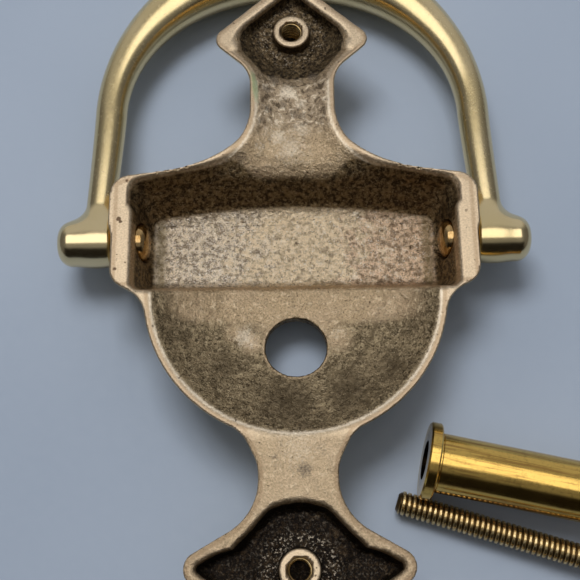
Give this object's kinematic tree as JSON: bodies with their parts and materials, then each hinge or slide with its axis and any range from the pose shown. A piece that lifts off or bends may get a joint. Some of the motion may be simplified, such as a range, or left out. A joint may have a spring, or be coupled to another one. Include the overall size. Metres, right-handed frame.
{
  "type": "door knocker with viewer",
  "caption": "Cast brass door knocker: swinging bail on a hinge box, round shield with a viewer hole, loose door viewer and fixing screws.",
  "frame": {"origin": "on the viewer hole's axis, in the plane of the back rim that lies on the door", "axes": "+Z out of the back, into the door; +Y up the door, from the viewer hole to the hinge box; +X to the right seen from the back"},
  "size_m": [0.1328, 0.1708, 0.0165],
  "materials": {
    "cast_brass": "as-cast, aged, with a ground rim",
    "polished_brass": "polished and lacquered",
    "turned_brass": "machined, bright",
    "screw_brass": "rolled thread, slightly dark",
    "clear_glass": "polished, clear"
  },
  "bodies": {
    "plate": {"knocker_plate": "cast_brass"},
    "bail": {"knocker_bail": "polished_brass", "pivot_pin_left": "turned_brass", "pivot_pin_right": "turned_brass"},
    "viewer": {"viewer_outer_barrel": "turned_brass", "viewer_objective_lens": "clear_glass", "viewer_lens_spacer": "turned_brass", "viewer_negative_lens": "clear_glass", "viewer_lens_sleeve": "turned_brass", "viewer_field_lens": "clear_glass"},
    "viewer_inner": {"viewer_inner_barrel": "turned_brass", "viewer_eyepiece_lens": "clear_glass", "viewer_eyepiece_ring": "turned_brass"},
    "screw_1": {"mounting_screw_1": "screw_brass"},
    "screw_2": {"mounting_screw_2": "screw_brass"}
  },
  "joints": [
    {"name": "bail_swing", "type": "hinge", "parent": "plate", "child": "bail", "pos_m": [0, 0.0226, -0.0065], "axis": [-1, 0, 0], "range_deg": [-3, 169]},
    {"name": "viewer_aside", "type": "slide", "parent": "plate", "child": "viewer", "axis": [1, 0, 0], "range_m": [-0.001, 0.046]},
    {"name": "viewer_extend", "type": "slide", "parent": "viewer", "child": "viewer_inner", "axis": [0.977, -0.213, 0], "range_m": [-0.006, 0.01]},
    {"name": "screw_1_aside", "type": "slide", "parent": "plate", "child": "screw_1", "axis": [1, 0, 0], "range_m": [-0.001, 0.046]},
    {"name": "screw_2_aside", "type": "slide", "parent": "plate", "child": "screw_2", "axis": [1, 0, 0], "range_m": [-0.001, 0.046]}
  ],
  "couplings": [
    {"joint": "viewer_aside", "follows": "bail_swing", "m_per_rad": 0.01525},
    {"joint": "screw_1_aside", "follows": "bail_swing", "m_per_rad": 0.01525},
    {"joint": "screw_2_aside", "follows": "bail_swing", "m_per_rad": 0.01525}
  ]
}
